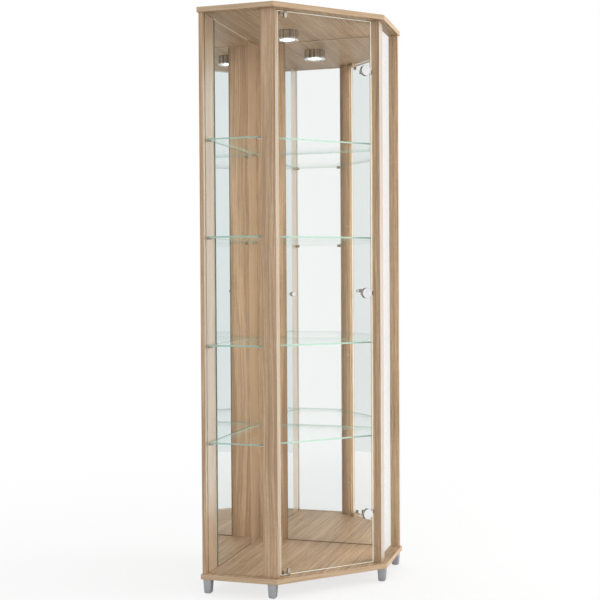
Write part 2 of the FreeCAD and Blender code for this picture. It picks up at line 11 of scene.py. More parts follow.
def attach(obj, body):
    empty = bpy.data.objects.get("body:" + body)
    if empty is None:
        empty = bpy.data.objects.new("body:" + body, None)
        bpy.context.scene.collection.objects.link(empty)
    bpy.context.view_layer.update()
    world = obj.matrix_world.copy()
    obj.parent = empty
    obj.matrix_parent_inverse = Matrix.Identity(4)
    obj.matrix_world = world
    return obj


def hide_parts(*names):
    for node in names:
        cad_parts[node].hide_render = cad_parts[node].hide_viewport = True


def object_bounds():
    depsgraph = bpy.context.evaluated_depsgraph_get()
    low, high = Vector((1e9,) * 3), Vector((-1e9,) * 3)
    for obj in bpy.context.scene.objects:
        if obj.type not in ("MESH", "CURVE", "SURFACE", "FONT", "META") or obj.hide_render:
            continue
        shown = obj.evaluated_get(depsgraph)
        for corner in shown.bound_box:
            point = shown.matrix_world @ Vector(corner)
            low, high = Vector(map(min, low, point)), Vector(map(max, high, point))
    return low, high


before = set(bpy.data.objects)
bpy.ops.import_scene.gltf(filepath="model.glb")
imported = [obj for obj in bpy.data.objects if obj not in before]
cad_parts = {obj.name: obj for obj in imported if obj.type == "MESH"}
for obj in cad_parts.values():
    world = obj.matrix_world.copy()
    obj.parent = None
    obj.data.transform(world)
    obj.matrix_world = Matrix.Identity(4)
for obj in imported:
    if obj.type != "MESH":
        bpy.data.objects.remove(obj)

LOG = logging.getLogger("corner_cabinet")
CAD_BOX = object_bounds()
HALF_DIAGONAL = math.sqrt(0.5)
FRONT = Vector((0.0, -1.0, 0.0))
UP = Vector((0.0, 0.0, 1.0))
DOWNWARD = -0.9         # a face's upright share, below which it looks down
FLAT_DOWN = -0.999
MM = 0.001
WELD = 1e-6
BOUNCES = {"max_bounces": 16, "glossy_bounces": 12, "transmission_bounces": 12,
           "transparent_max_bounces": 48}
Colour = tuple[float, float, float]
Point = tuple[float, float, float]
Profile = Sequence[tuple[float, float]]
Piece = bpy.types.Object
Material = bpy.types.Material
Node = bpy.types.Node
Socket = bpy.types.NodeSocket


class Grain(Enum):
    """The way the grain of a board runs, as the turn that lays X along it."""

    UPRIGHT = (0.0, math.radians(90.0), 0.0)
    ALONG_LEFT_WALL = (0.0, 0.0, math.radians(-45.0))


class Body(Enum):
    """The rigid bodies that pieces ride on."""

    CABINET = "cabinet"
    DOOR = "door"


class Side(Enum):
    """The two room walls that the cabinet stands against, by the sign of X."""

    LEFT = -1.0
    RIGHT = 1.0

    def point(self, along: float, out: float, height: float) -> Vector:
        """Gives a place by its distances from the room corner and from this wall.

        Args:
            along: Distance along the wall from the room corner.
            out: Distance off the wall, into the cabinet.
            height: Height above the floor.

        Returns:
            The place in the cabinet's frame.
        """
        corner = CAD_BOX[1][1]
        return Vector((self.value * (along - out) * HALF_DIAGONAL,
                       corner - (along + out) * HALF_DIAGONAL, height))

    def inward(self) -> Vector:
        """Gives the direction off this wall into the cabinet."""
        return Vector((-self.value * HALF_DIAGONAL, -HALF_DIAGONAL, 0.0))

    def outward_along(self) -> Vector:
        """Gives the direction along this wall, away from the room corner."""
        return Vector((self.value * HALF_DIAGONAL, -HALF_DIAGONAL, 0.0))


# ---- Modelling
def clear_selection() -> None:
    """Leaves edit mode and deselects everything."""
    active = bpy.context.view_layer.objects.active
    if active is not None and active.mode != "OBJECT":
        bpy.ops.object.mode_set(mode="OBJECT")
    bpy.ops.object.select_all(action="DESELECT")


def edit_all() -> None:
    """Enters edit mode with everything selected."""
    bpy.ops.object.mode_set(mode="EDIT")
    bpy.ops.mesh.select_all(action="SELECT")


def pick(piece: Piece, kind: str, test: Callable[[Vector, Vector], bool]) -> None:
    """Selects faces or edges by place and direction, and stays in edit mode.

    Args:
        piece: The object that is being modelled.
        kind: FACE or EDGE.
        test: Takes a middle and a normal or edge direction, and says whether to select.
    """
    bpy.ops.object.mode_set(mode="EDIT")
    bpy.ops.mesh.select_mode(type=kind)
    bpy.ops.mesh.select_all(action="DESELECT")
    bpy.ops.object.mode_set(mode="OBJECT")
    mesh = piece.data
    if kind == "FACE":
        for face in mesh.polygons:
            face.select = test(face.center, face.normal)
    else:
        for edge in mesh.edges:
            start, end = (mesh.vertices[index].co for index in edge.vertices)
            edge.select = test((start + end) / 2, (end - start).normalized())
    bpy.ops.object.mode_set(mode="EDIT")


def finish_piece(piece: Piece, smooth_angle: float = 32.0) -> Piece:
    """Points the faces outwards, smooths the shading and settles the object at the origin.

    Args:
        piece: The object that is being modelled.
        smooth_angle: Angle in degrees above which an edge stays sharp.

    Returns:
        The same object, in object mode.
    """
    bpy.ops.object.mode_set(mode="EDIT")
    bpy.ops.mesh.select_mode(type="VERT")
    bpy.ops.mesh.select_all(action="SELECT")
    bpy.ops.mesh.remove_doubles(threshold=WELD)
    bpy.ops.mesh.normals_make_consistent(inside=False)
    bpy.ops.object.mode_set(mode="OBJECT")
    bpy.ops.object.transform_apply(location=True, rotation=True, scale=True)
    bpy.ops.object.shade_smooth_by_angle(angle=math.radians(smooth_angle))
    piece.select_set(False)
    return piece


def turned(name: str, profile: Profile, sides: int = 48, ring: bool = False,
           smooth_angle: float = 32.0) -> Piece:
    """Turns a piece on +Z from a list of radii and heights.

    Args:
        name: The new object's name.
        profile: Radius and height pairs, from one end to the other.
        sides: Number of sides.
        ring: Joins the last loop to the first, which leaves a hole in the middle.
        smooth_angle: Angle in degrees above which an edge stays sharp.

    Returns:
        The object, at the origin.
    """
    clear_selection()
    radius, height = profile[0]
    bpy.ops.mesh.primitive_circle_add(vertices=sides, radius=radius, fill_type="NOTHING",
                                      location=(0.0, 0.0, 0.0))
    piece = bpy.context.object
    piece.name = name
    edit_all()
    bpy.ops.transform.translate(value=(0.0, 0.0, height))
    steps = list(profile[1:]) + ([profile[0]] if ring else [])
    for next_radius, next_height in steps:
        bpy.ops.mesh.extrude_edges_move(
            TRANSFORM_OT_translate={"value": (0.0, 0.0, next_height - height)})
        share = next_radius / radius
        bpy.ops.transform.resize(value=(share, share, 1.0),
                                 center_override=(0.0, 0.0, next_height))
        radius, height = next_radius, next_height
    bpy.ops.mesh.select_all(action="SELECT")
    if ring:
        bpy.ops.mesh.remove_doubles(threshold=WELD)
    else:
        bpy.ops.mesh.fill_holes(sides=0)
    return finish_piece(piece, smooth_angle)


def aim(piece: Piece, place: Vector, direction: Vector) -> Piece:
    """Moves a piece made on +Z to a place, with its +Z along a direction."""
    turn = UP.rotation_difference(direction).to_matrix().to_4x4()
    piece.data.transform(Matrix.Translation(place) @ turn)
    return piece


def copy_of(piece: Piece, name: str) -> Piece:
    """Copies a piece with a mesh of its own."""
    twin = piece.copy()
    twin.data = piece.data.copy()
    twin.name = name
    bpy.context.scene.collection.objects.link(twin)
    return twin


def paint_side_shade(piece: Piece, material: Material, way: Vector,
         limit: float = 0.72) -> None:
    """Gives the faces that don't point one way a second material, which paints shade on a part's
    sides.

    Args:
        piece: The finished piece.
        material: The second material, a darker one for the painted shade.
        way: The way that the other faces point.
        limit: Cosine of a face's turn from that way, below which it gets the material.
    """
    piece.data.materials.append(material)
    for face in piece.data.polygons:
        if face.normal.dot(way) < limit:
            face.material_index = 1


def settle(piece: Piece, material: Material, body: Body,
           replaced: Sequence[str] = ()) -> None:
    """Gives a finished piece its material and body, and hides the CAD nodes that it stands for.

    Args:
        piece: The finished piece.
        material: Its material, unless it has one already.
        body: The body that it rides on.
        replaced: The CAD nodes that it stands for.
    """
    if not piece.data.materials:
        dress(piece, material)
    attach(piece, body.value)
    if replaced:
        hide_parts(*replaced)
    LOG.info("built %s, %d faces, on %s", piece.name, len(piece.data.polygons), body.value)


# ---- Node helper
class Graph:
    """A small wrapper that adds and joins shader nodes."""

    MIX_FACTOR, MIX_FIRST, MIX_SECOND, MIX_RESULT = 0, 6, 7, 2      # a Mix node's colour sockets

    def __init__(self, tree: bpy.types.NodeTree) -> None:
        """Keeps the node tree and empties it."""
        self.tree = tree
        tree.nodes.clear()

    def node(self, kind: str, values: dict | None = None, **settings: object) -> Node:
        """Adds a node.

        Args:
            kind: Blender's node type name, without its leading ShaderNode.
            values: Input name or index to a number, colour or socket.
            settings: Node properties.

        Returns:
            The new node.
        """
        made = self.tree.nodes.new("ShaderNode" + kind)
        for name, value in settings.items():
            setattr(made, name, value)
        for key, value in (values or {}).items():
            self.feed(made.inputs[key], value)
        return made

    def feed(self, socket: Socket, value: object) -> None:
        """Links a socket into an input, or sets the input's own value."""
        if isinstance(value, Socket):
            self.tree.links.new(value, socket)
        elif isinstance(value, tuple) and len(value) == 3 and socket.type == "RGBA":
            socket.default_value = (*value, 1.0)
        else:
            socket.default_value = value

    def math(self, operation: str, a: object, b: object = 0.5, clamp: bool = False) -> Socket:
        """Adds a Math node and returns its output."""
        return self.node("Math", {0: a, 1: b}, operation=operation, use_clamp=clamp).outputs[0]

    def weighted(self, *parts: tuple[object, float]) -> Socket:
        """Adds up values by their weights.

        Args:
            parts: Pairs of a value and its weight.

        Returns:
            The sum.
        """
        total, *others = [self.math("MULTIPLY", value, weight) for value, weight in parts]
        for share in others:
            total = self.math("ADD", total, share)
        return total

    def vector(self, operation: str, a: object, b: object = (0.0, 0.0, 0.0)) -> Node:
        """Adds a Vector Math node."""
        return self.node("VectorMath", {0: a, 1: b}, operation=operation)

    def mix(self, factor: object, a: object, b: object) -> Socket:
        """Mixes two colours and returns the result."""
        values = {self.MIX_FACTOR: factor, self.MIX_FIRST: a, self.MIX_SECOND: b}
        made = self.node("Mix", values, data_type="RGBA", clamp_factor=True)
        return made.outputs[self.MIX_RESULT]

    def layered(self, factor: object, under: Node, over: Node) -> Node:
        """Mixes two shaders and returns the node."""
        return self.node("MixShader", {0: factor, 1: under.outputs[0], 2: over.outputs[0]})

    def facing(self) -> Socket:
        """Gives 0 where the surface faces the eye and 1 where it is edge on."""
        return self.node("LayerWeight", {"Blend": 0.5}).outputs["Facing"]

    def remap(self, value: object, low: float, high: float, to_low: float = 0.0,
              to_high: float = 1.0) -> Socket:
        """Maps a range onto another, held at both ends."""
        made = self.node("MapRange", {0: value, 1: low, 2: high, 3: to_low, 4: to_high})
        return made.outputs[0]

    def mapped(self, where: object, turn: Point = (0.0, 0.0, 0.0),
               size: Point = (1.0, 1.0, 1.0)) -> Socket:
        """Turns and scales coordinates."""
        return self.node("Mapping", {"Vector": where, "Rotation": turn, "Scale": size}).outputs[0]

    def noise(self, where: object, cycles: Point | float, detail: float,
              roughness: float = 0.5) -> Socket:
        """Adds a 3D noise.

        Args:
            where: The coordinates.
            cycles: Its cycles a metre on each axis, or one number for all three.
            detail: Its octaves.
            roughness: How much the fine octaves count.

        Returns:
            The noise's factor.
        """
        size = cycles if isinstance(cycles, tuple) else (cycles,) * 3
        return self.node("TexNoise", {
            "Vector": self.mapped(where, size=size), "Scale": 1.0, "Detail": detail,
            "Roughness": roughness}).outputs[0]

    def bump(self, height: object, strength: float, distance: float) -> Socket:
        """Turns a height into a bumped normal."""
        return self.node("Bump", {"Height": height, "Strength": strength,
                                  "Distance": distance}).outputs[0]


def new_graph(name: str) -> tuple[Material, Graph]:
    """Makes an empty node material.

    Args:
        name: The material's name.

    Returns:
        The material and its graph.
    """
    material = bpy.data.materials.new(name)
    material.use_nodes = True
    return material, Graph(material.node_tree)


def finish_with(graph: Graph, shader: Node) -> None:
    """Joins a shader to the material's output."""
    graph.node("OutputMaterial", {0: shader.outputs[0]})


def seen_directly(g: Graph) -> Socket:
    """Gives 1 for camera, glossy and transmission rays and 0 for the rays that only light."""
    path = g.node("LightPath").outputs
    seen = g.math("MAXIMUM", path["Is Camera Ray"], path["Is Glossy Ray"])
    return g.math("MAXIMUM", seen, path["Is Transmission Ray"])


def scaled(colour: Colour, share: float) -> Colour:
    """Scales a colour, held below white."""
    return tuple(min(1.0, channel * share) for channel in colour)


# ---- Finishes
OAK_FIGURE = (                  # cycles a metre along and across the grain, detail, roughness
    (0.9, 24.0, 2.0, 0.5),      # broad flames
    (1.0, 70.0, 3.0, 0.6),      # growth bands
    (2.2, 210.0, 3.0, 0.6),     # rings
    (10.0, 760.0, 2.0, 0.6),    # fibres
    (55.0, 1700.0, 1.0, 0.5),   # pores
)


@dataclass(frozen=True)
class OakDecor:
    """Light sawn oak decor: growth bands, fibres, pores and faint saw marks across."""

    name: str
    grain: Grain = Grain.UPRIGHT
    shift: Point = (0.0, 0.0, 0.0)
    pale: Colour = (0.640, 0.470, 0.310)
    mid: Colour = (0.515, 0.352, 0.215)
    dark: Colour = (0.345, 0.215, 0.122)
    roughness: float = 0.44
    gloss: float = 0.3
    lacquer: float = 0.44
    # Scales all three oak tones: painted light and shade, making lighter or darker copies of one
    # decor.
    painted_light_level: float = 1.0
    banded: bool = False
    sway: float = 35.0 * MM

    def edge_band(self, g: Graph, coords: Node, board: Socket) -> Socket:
        """Lays a thin strip with its own level grain on the upright edges of a flat board.

        Args:
            g: The graph of the material.
            coords: Its Texture Coordinate node.
            board: The colour of the flat faces.

        Returns:
            The colour with the edges banded.
        """
        lines = g.noise(coords.outputs["Object"], (7.0, 7.0, 420.0), 3.0, 0.6)
        strip = g.mix(g.remap(lines, 0.38, 0.60), scaled(self.mid, 0.82), scaled(self.pale, 0.86))
        level = g.vector("DOT_PRODUCT", coords.outputs["Normal"], (0.0, 0.0, 1.0)).outputs["Value"]
        on_edge = g.remap(g.math("ABSOLUTE", level), 0.75, 0.55)
        return g.mix(on_edge, board, strip)

    def figure(self, g: Graph, moved: Socket) -> list[Socket]:
        """Lays the noises that run along the grain, all swaying together.

        Args:
            g: The graph of the material.
            moved: The coordinates, with X along the grain.

        Returns:
            The noises in the order of OAK_FIGURE.
        """
        wave = g.noise(moved, (1.3, 3.0, 3.0), 2.0)
        sway = g.math("MULTIPLY", g.math("SUBTRACT", wave, 0.5), self.sway)
        sideways = g.node("CombineXYZ", {1: sway, 2: sway}).outputs[0]
        swayed = g.vector("ADD", moved, sideways).outputs[0]
        return [g.noise(swayed, (along, across, across), detail, roughness)
                for along, across, detail, roughness in OAK_FIGURE]

    def build(self) -> Material:
        """Makes the node material.

        Returns:
            The finished material.
        """
        material, g = new_graph(self.name)
        # The tones are scaled by the painted light level, which stands in for light and shade.
        dark, mid, pale = (scaled(tone, self.painted_light_level) for tone in (self.dark, self.mid, self.pale))
        coords = g.node("TexCoord")
        laid = g.mapped(coords.outputs["Object"], turn=self.grain.value)
        moved = g.vector("ADD", laid, self.shift).outputs[0]
        broad, bands, rings, fibres, pores = self.figure(g, moved)
        saw = g.noise(moved, (330.0, 7.0, 7.0), 2.0)
        tone = g.weighted((broad, 0.20), (bands, 0.28), (rings, 0.52))
        body = g.mix(g.remap(tone, 0.38, 0.51), dark, mid)
        body = g.mix(g.remap(tone, 0.48, 0.60), body, pale)
        streaked = g.mix(g.remap(fibres, 0.36, 0.58, 0.60, 0.0), body, scaled(dark, 0.85))
        pored = g.mix(g.remap(pores, 0.30, 0.42, 0.5, 0.0), streaked, scaled(dark, 0.62))
        sawn = g.mix(g.remap(saw, 0.55, 0.72, 0.0, 0.12), pored, pale)
        if self.banded:
            sawn = self.edge_band(g, coords, sawn)
        relief = g.weighted((fibres, 0.5), (saw, 0.3), (g.remap(pores, 0.28, 0.42), 0.5))
        gloss = g.remap(fibres, 0.3, 0.7, self.roughness + 0.07, self.roughness - 0.05)
        shader = g.node("BsdfPrincipled", {
            "Base Color": sawn, "Roughness": gloss, "Specular IOR Level": self.gloss,
            "Normal": g.bump(relief, 0.2, 0.0003)})
        satin = g.node("BsdfGlossy", {"Color": (1.0, 0.985, 0.96), "Roughness": 0.3})
        coat = g.remap(g.facing(), 0.40, 0.62, 0.0, self.lacquer)
        finish_with(g, g.layered(coat, shader, satin))
        return material


@dataclass(frozen=True)
class FloatGlass:
    """Clear float glass that lets light through, with darker, greener polished edges."""

    name: str
    face: Point = (0.0, 0.0, 1.0)
    face_tint: Colour = (0.994, 0.998, 0.996)
    edge_tint: Colour = (0.300, 0.420, 0.355)
    edge_clear: float = 0.25
    # Emission on the polished edges: a painted highlight that makes them look lit.
    edge_painted_glow: float = 0.0
    glare: float = 0.0
    glare_span: tuple[float, float] = (0.64, 0.80)
    head_on: float = 0.010
    rise_power: float = 5.0
    rise_share: float = 0.98

    def build(self) -> Material:
        """Makes the node material.

        Returns:
            The finished material.
        """
        material, g = new_graph(self.name)
        coords = g.node("TexCoord")
        facing = g.facing()
        rise = g.math("MULTIPLY", g.math("POWER", facing, self.rise_power), self.rise_share)
        glare = g.remap(facing, *self.glare_span, self.head_on, self.head_on + self.glare)
        fresnel = g.math("MULTIPLY", g.math("ADD", rise, glare, clamp=True), seen_directly(g))
        smear = g.noise(coords.outputs["Object"], (9.0, 9.0, 5.0), 3.0)
        clear = g.node("BsdfTransparent", {0: self.face_tint})
        gloss = g.node("BsdfGlossy", {"Color": (1.0, 1.0, 1.0),
                                      "Roughness": g.remap(smear, 0.4, 0.8, 0.0, 0.02)})
        sheet = g.layered(fresnel, clear, gloss)
        along_face = g.vector("DOT_PRODUCT", coords.outputs["Normal"], self.face)
        on_edge = g.remap(g.math("ABSOLUTE", along_face.outputs["Value"]), 0.85, 0.70)
        ripple = g.noise(coords.outputs["Object"], (60.0, 60.0, 900.0), 2.0)
        edge_colour = g.mix(g.remap(ripple, 0.35, 0.65), self.edge_tint,
                            scaled(self.edge_tint, 0.86))
        # The edge's emission is a painted highlight.
        polished = g.node("BsdfPrincipled", {
            "Base Color": edge_colour, "Roughness": 0.14, "Emission Color": edge_colour,
            "Emission Strength": self.edge_painted_glow})
        through = g.node("BsdfTransparent", {0: scaled(self.edge_tint, 1.5)})
        edge = g.layered(self.edge_clear, polished, through)
        finish_with(g, g.layered(on_edge, sheet, edge))
        return material


@dataclass(frozen=True)
class Metal:
    """A plated or painted metal with fine wear in its gloss, or with painted reflection streaks:
    dark bands round an axis.
    """

    name: str
    colour: Colour
    roughness: float
    metallic: float = 1.0
    speckle: float = 0.0
    axis: Point | None = None

    def build(self) -> Material:
        """Makes the node material.

        Returns:
            The finished material.
        """
        material, g = new_graph(self.name)
        place = g.node("TexCoord").outputs["Object"]
        cloud = g.noise(place, 60.0, 3.0)
        fine = g.noise(place, 900.0, 2.0)
        tint = g.mix(g.remap(cloud, 0.35, 0.65), self.colour, scaled(self.colour, 0.93))
        tint = g.mix(g.remap(fine, 0.45, 0.7, 0.0, self.speckle), tint, scaled(self.colour, 1.25))
        # Dark bands by the angle round the axis: painted reflections of the surroundings.
        if self.axis is not None:
            spoke = g.vector("MULTIPLY", g.vector("SUBTRACT", place, self.axis).outputs[0],
                             (1.0, 1.0, 0.0)).outputs[0]
            around = g.vector("NORMALIZE", spoke).outputs[0]
            painted_reflection_streak = g.noise(around, (4.5, 4.5, 1.0), 3.0, 0.6)
            tint = g.mix(g.remap(painted_reflection_streak, 0.42, 0.58), scaled(self.colour, 0.42), tint)
        gloss = g.remap(cloud, 0.3, 0.7, self.roughness * 0.85, self.roughness * 1.2)
        relief = g.math("MULTIPLY", fine, self.speckle + 0.02)
        shader = g.node("BsdfPrincipled", {
            "Base Color": tint, "Metallic": self.metallic, "Roughness": gloss,
            "Normal": g.bump(relief, 0.25, 0.0002)})
        finish_with(g, shader)
        return material


@dataclass(frozen=True)
class MirrorGlass:
    """A silvered mirror with a ground bevel round its face and plain glass edges, a painted shadow
    line at its foot and a painted highlight line at its head.
    """

    name: str
    face: Point
    tint: Colour = (0.950, 0.955, 0.950)
    bevel: Colour = (0.20, 0.24, 0.20)
    edge: Colour = (0.13, 0.17, 0.13)
    # Dark painted shadow line along the mirror's foot and pale painted highlight line along its
    # head.
    foot_painted_shadow: Colour = (0.22, 0.155, 0.100)
    head_painted_highlight: Colour = (0.80, 0.68, 0.54)
    foot_height: float = 58.0 * MM
    head_height: float = 1704.5 * MM
    line_width: float = 3.0 * MM

    def build(self) -> Material:
        """Makes the node material.

        Returns:
            The finished material.
        """
        material, g = new_graph(self.name)
        coords = g.node("TexCoord")
        cloud = g.noise(coords.outputs["Object"], (3.0, 3.0, 2.0), 2.0)
        tint = g.mix(g.remap(cloud, 0.3, 0.7), self.tint, scaled(self.tint, 0.985))
        silver = g.node("BsdfPrincipled", {
            "Base Color": tint, "Metallic": 1.0, "Roughness": g.remap(cloud, 0.2, 0.9, 0.0, 0.008)})
        towards = g.vector("DOT_PRODUCT", coords.outputs["Normal"], self.face).outputs["Value"]
        rim_colour = g.mix(g.remap(towards, 0.3, 0.5), self.edge, self.bevel)
        rim = g.node("BsdfPrincipled", {
            "Base Color": rim_colour, "Roughness": g.remap(cloud, 0.3, 0.7, 0.10, 0.16)})
        both = g.layered(g.remap(towards, 0.88, 0.95), rim, silver)
        # Paints a dark contact shadow line at the foot and a pale highlight line at the head.
        height = g.node("SeparateXYZ", {0: coords.outputs["Object"]}).outputs["Z"]
        soft = self.line_width * 0.3
        foot = self.foot_height + self.line_width
        head = self.head_height - self.line_width
        at_foot = g.remap(height, foot, foot - soft)
        at_head = g.remap(height, head, head + soft)
        painted_shadow_and_highlight = g.node("BsdfDiffuse", {
            "Color": g.mix(at_head, self.foot_painted_shadow, self.head_painted_highlight)})
        finish_with(g, g.layered(g.math("MAXIMUM", at_foot, at_head), both, painted_shadow_and_highlight))
        return material


@dataclass(frozen=True)
class Plain:
    """A plastic, rubber or fibre board with grain in its colour and surface."""

    name: str
    colour: Colour
    second: Colour
    roughness: float = 0.5
    size: float = 400.0
    depth: float = 0.2

    def build(self) -> Material:
        """Makes the node material.

        Returns:
            The finished material.
        """
        material, g = new_graph(self.name)
        place = g.node("TexCoord").outputs["Object"]
        fine = g.noise(place, self.size, 3.0)
        cloud = g.noise(place, 20.0, 2.0)
        tone = g.weighted((fine, 0.6), (cloud, 0.4))
        tint = g.mix(g.remap(tone, 0.35, 0.65), self.colour, self.second)
        shader = g.node("BsdfPrincipled", {
            "Base Color": tint, "Roughness": g.remap(fine, 0.3, 0.7, self.roughness - 0.06,
                                                     self.roughness + 0.06),
            "Normal": g.bump(fine, self.depth, 0.0002)})
        finish_with(g, shader)
        return material


@dataclass(frozen=True)
class LampDiffuser:
    """A frosted disc lit from behind, brighter at its middle."""

    name: str
    centre: Point
    radius: float
    strength: float = 2.4
    light: float = 14.0

    def build(self) -> Material:
        """Makes the node material.

        Returns:
            The finished material.
        """
        material, g = new_graph(self.name)
        place = g.node("TexCoord").outputs["Object"]
        from_centre = g.vector("SUBTRACT", place, self.centre).outputs[0]
        distance = g.vector("LENGTH", from_centre).outputs["Value"]
        grainy = g.noise(place, 500.0, 2.0)
        middle = g.remap(distance, 0.0, self.radius, 1.0, 0.3)
        strength = g.remap(seen_directly(g), 0.0, 1.0, self.light, self.strength)
        glow = g.math("MULTIPLY", g.math("MULTIPLY", middle, strength),
                      g.remap(grainy, 0.3, 0.7, 0.9, 1.1))
        shader = g.node("BsdfPrincipled", {
            "Base Color": g.mix(grainy, (0.93, 0.94, 0.95), (0.86, 0.87, 0.88)),
            "Roughness": 0.35, "Emission Color": (1.0, 0.985, 0.95),
            "Emission Strength": glow})
        finish_with(g, shader)
        return material


# ---- Dressing
def dress(thing: Piece, material: Material) -> None:
    """Gives every material slot of an object one material."""
    if not thing.material_slots:
        thing.data.materials.append(material)
    for place in thing.material_slots:
        place.material = material


def dress_nodes(names: Sequence[str], material: Material) -> None:
    """Dresses CAD nodes by name."""
    for name in names:
        dress(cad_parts[name], material)
        LOG.info("dressed %s with %s", name, material.name)


def numbered(stem: str, count: int) -> list[str]:
    """Gives names that end in a number from 1 up."""
    return ["%s_%d" % (stem, number) for number in range(1, count + 1)]


@dataclass(frozen=True)
class Palette:
    """The metals that more than one sub-assembly uses."""

    chrome: Material
    dark_chrome: Material
    nickel: Material
    zinc: Material

    @classmethod
    def mixed(cls) -> "Palette":
        """Makes the shared metals.

        Returns:
            The palette.
        """
        return cls(chrome=Metal("chrome", (0.83, 0.835, 0.84), 0.06).build(),
                   dark_chrome=Metal("dark_chrome", (0.40, 0.40, 0.39), 0.16).build(),
                   nickel=Metal("nickel", (0.60, 0.57, 0.51), 0.24, 1.0, 0.1).build(),
                   zinc=Metal("zinc", (0.60, 0.58, 0.54), 0.34, 1.0, 0.2).build())


# ---- Sub-assemblies
@dataclass
class Carcass:
    """The panels, back boards, posts and door stop batten in oak decor."""

    uprights: tuple[str, ...] = ("left_back_board", "right_back_board", "front_left_post",
                                 "front_right_post", "door_stop_batten")
    pattern_step: float = 0.83
    pattern_shares: Point = (1.0, 0.37, 0.21)
    panel_step: float = 1.7
    # Brightness of each node's oak: painted shade on the top and base panels and the front right
    # post, painted light on the back boards.
    painted_light_levels: dict[str, float] = field(default_factory=lambda: {
        "left_back_board": 1.01, "right_back_board": 1.16, "front_right_post": 0.88,
        "top_panel": 0.76, "base_panel": 0.92})

    def build(self, palette: Palette) -> None:
        """Dresses the two panels and each upright with its own cut of the decor.

        Args:
            palette: The shared metals.
        """
        for count, name in enumerate(self.uprights, 1):
            shift = tuple(self.pattern_step * count * share for share in self.pattern_shares)
            oak = OakDecor("oak_" + name, Grain.UPRIGHT, shift, painted_light_level=self.painted_light_levels.get(name, 1.0))
            dress_nodes([name], oak.build())
        for count, name in enumerate(("top_panel", "base_panel")):
            oak = OakDecor("oak_" + name, Grain.ALONG_LEFT_WALL,
                           (self.panel_step * count, 0.4, 0.9), gloss=0.2, lacquer=0.0,
                           painted_light_level=self.painted_light_levels[name], banded=True)
            dress_nodes([name], oak.build())
        dress_nodes(["panel_screws", "corner_screws", "stop_screws"], palette.zinc)


@dataclass
class Feet:
    """The tapered silver feet, each with rounded edges and a low glide under it."""

    names: tuple[str, ...] = ("foot_back", "foot_left", "foot_right", "foot_front_left",
                              "foot_front_right")
    near: float = 4.5 * MM
    far: float = 495.5 * MM
    front: float = 230.5 * MM
    bottom_width: float = 21.0 * MM
    top_width: float = 26.0 * MM
    height: float = 43.0 * MM
    edge_round: float = 3.6 * MM
    glide: float = 0.8 * MM

    def corner_of(self, name: str) -> tuple[Side, float, float, int, int]:
        """Gives a foot's wall side, its upright corner and the ways it spreads from there."""
        side = Side.RIGHT if "right" in name else Side.LEFT
        if name == "foot_back":
            return side, self.near, self.near, 1, 1
        if "front" in name:
            return side, self.far, self.front, -1, -1
        return side, self.far, self.near, -1, 1

    def make(self, name: str) -> Piece:
        """Models one foot: a block tapered downwards, rounded, with a glide.

        Args:
            name: The node that the foot stands for.

        Returns:
            The new piece.
        """
        half = self.top_width / 2
        middle = (self.height + self.glide) / 2
        clear_selection()
        bpy.ops.mesh.primitive_cube_add(size=self.top_width, location=(half, half, middle))
        piece = bpy.context.object
        piece.name = name.replace("foot_", "cast_foot_")
        bpy.ops.object.transform_apply(location=True, rotation=True, scale=True)
        edit_all()
        bpy.ops.transform.resize(value=(1.0, 1.0, (self.height - self.glide) / self.top_width),
                                 center_override=(0.0, 0.0, middle))
        pick(piece, "FACE", lambda _, normal: normal.z < DOWNWARD)
        share = self.bottom_width / self.top_width
        bpy.ops.transform.resize(value=(share, share, 1.0),
                                 center_override=(half, half, self.glide))
        pick(piece, "EDGE", lambda place, _: place.z < self.height - self.glide)
        bpy.ops.mesh.bevel(offset=self.edge_round, segments=4, affect="EDGES")
        pick(piece, "FACE", lambda _, normal: normal.z < FLAT_DOWN)
        bpy.ops.mesh.inset(thickness=self.glide, depth=0.0)
        bpy.ops.mesh.extrude_region_move(
            TRANSFORM_OT_translate={"value": (0.0, 0.0, -self.glide)})
        finish_piece(piece)
        side, along, out, along_way, out_way = self.corner_of(name)
        origin = side.point(along, out, 0.0)
        axes = (side.outward_along() * along_way, side.inward() * out_way, UP)
        piece.data.transform(Matrix.Translation(origin) @ Matrix(axes).transposed().to_4x4())
        clear_selection()
        piece.select_set(True)
        bpy.context.view_layer.objects.active = piece
        return finish_piece(piece)

    def build(self, palette: Palette) -> None:
        """Builds all the feet and dresses their studs.

        Args:
            palette: The shared metals.
        """
        silver = Metal("foot_silver", (0.40, 0.41, 0.43), 0.40, 0.75, 0.25).build()
        for name in self.names:
            settle(self.make(name), silver, Body.CABINET, [name])
        dress_nodes(["foot_studs"], palette.zinc)


@dataclass
class Glazing:
    """The glued mirrors, the side panes, the glass door and the glass shelves."""

    shelf_count: int = 4
    glare: float = 0.52
    pane_tint: Colour = (0.975, 0.985, 0.985)

    def build(self) -> None:
        """Dresses every sheet, with its edges told from its faces by the way they point."""
        for side in Side:
            name = side.name.lower()
            mirror = MirrorGlass(name + "_silvering", tuple(side.inward()))
            dress_nodes([name + "_mirror"], mirror.build())
            pane = FloatGlass(name + "_pane_clear", tuple(side.outward_along()),
                              face_tint=self.pane_tint, glare=self.glare)
            dress_nodes([name + "_side_glass"], pane.build())
        # The edges of the door and shelves glow as painted highlights, and the door's glow is the
        # strongest.
        door = FloatGlass("door_clear", (0.0, 1.0, 0.0), edge_tint=(0.74, 0.76, 0.69),
                          edge_clear=0.1, edge_painted_glow=0.6)
        dress_nodes(["door_glass"], door.build())
        shelf = FloatGlass("shelf_clear", (0.0, 0.0, 1.0), edge_tint=(0.36, 0.52, 0.45),
                           edge_clear=0.2, edge_painted_glow=0.12)
        dress_nodes(numbered("glass_shelf", self.shelf_count), shelf.build())


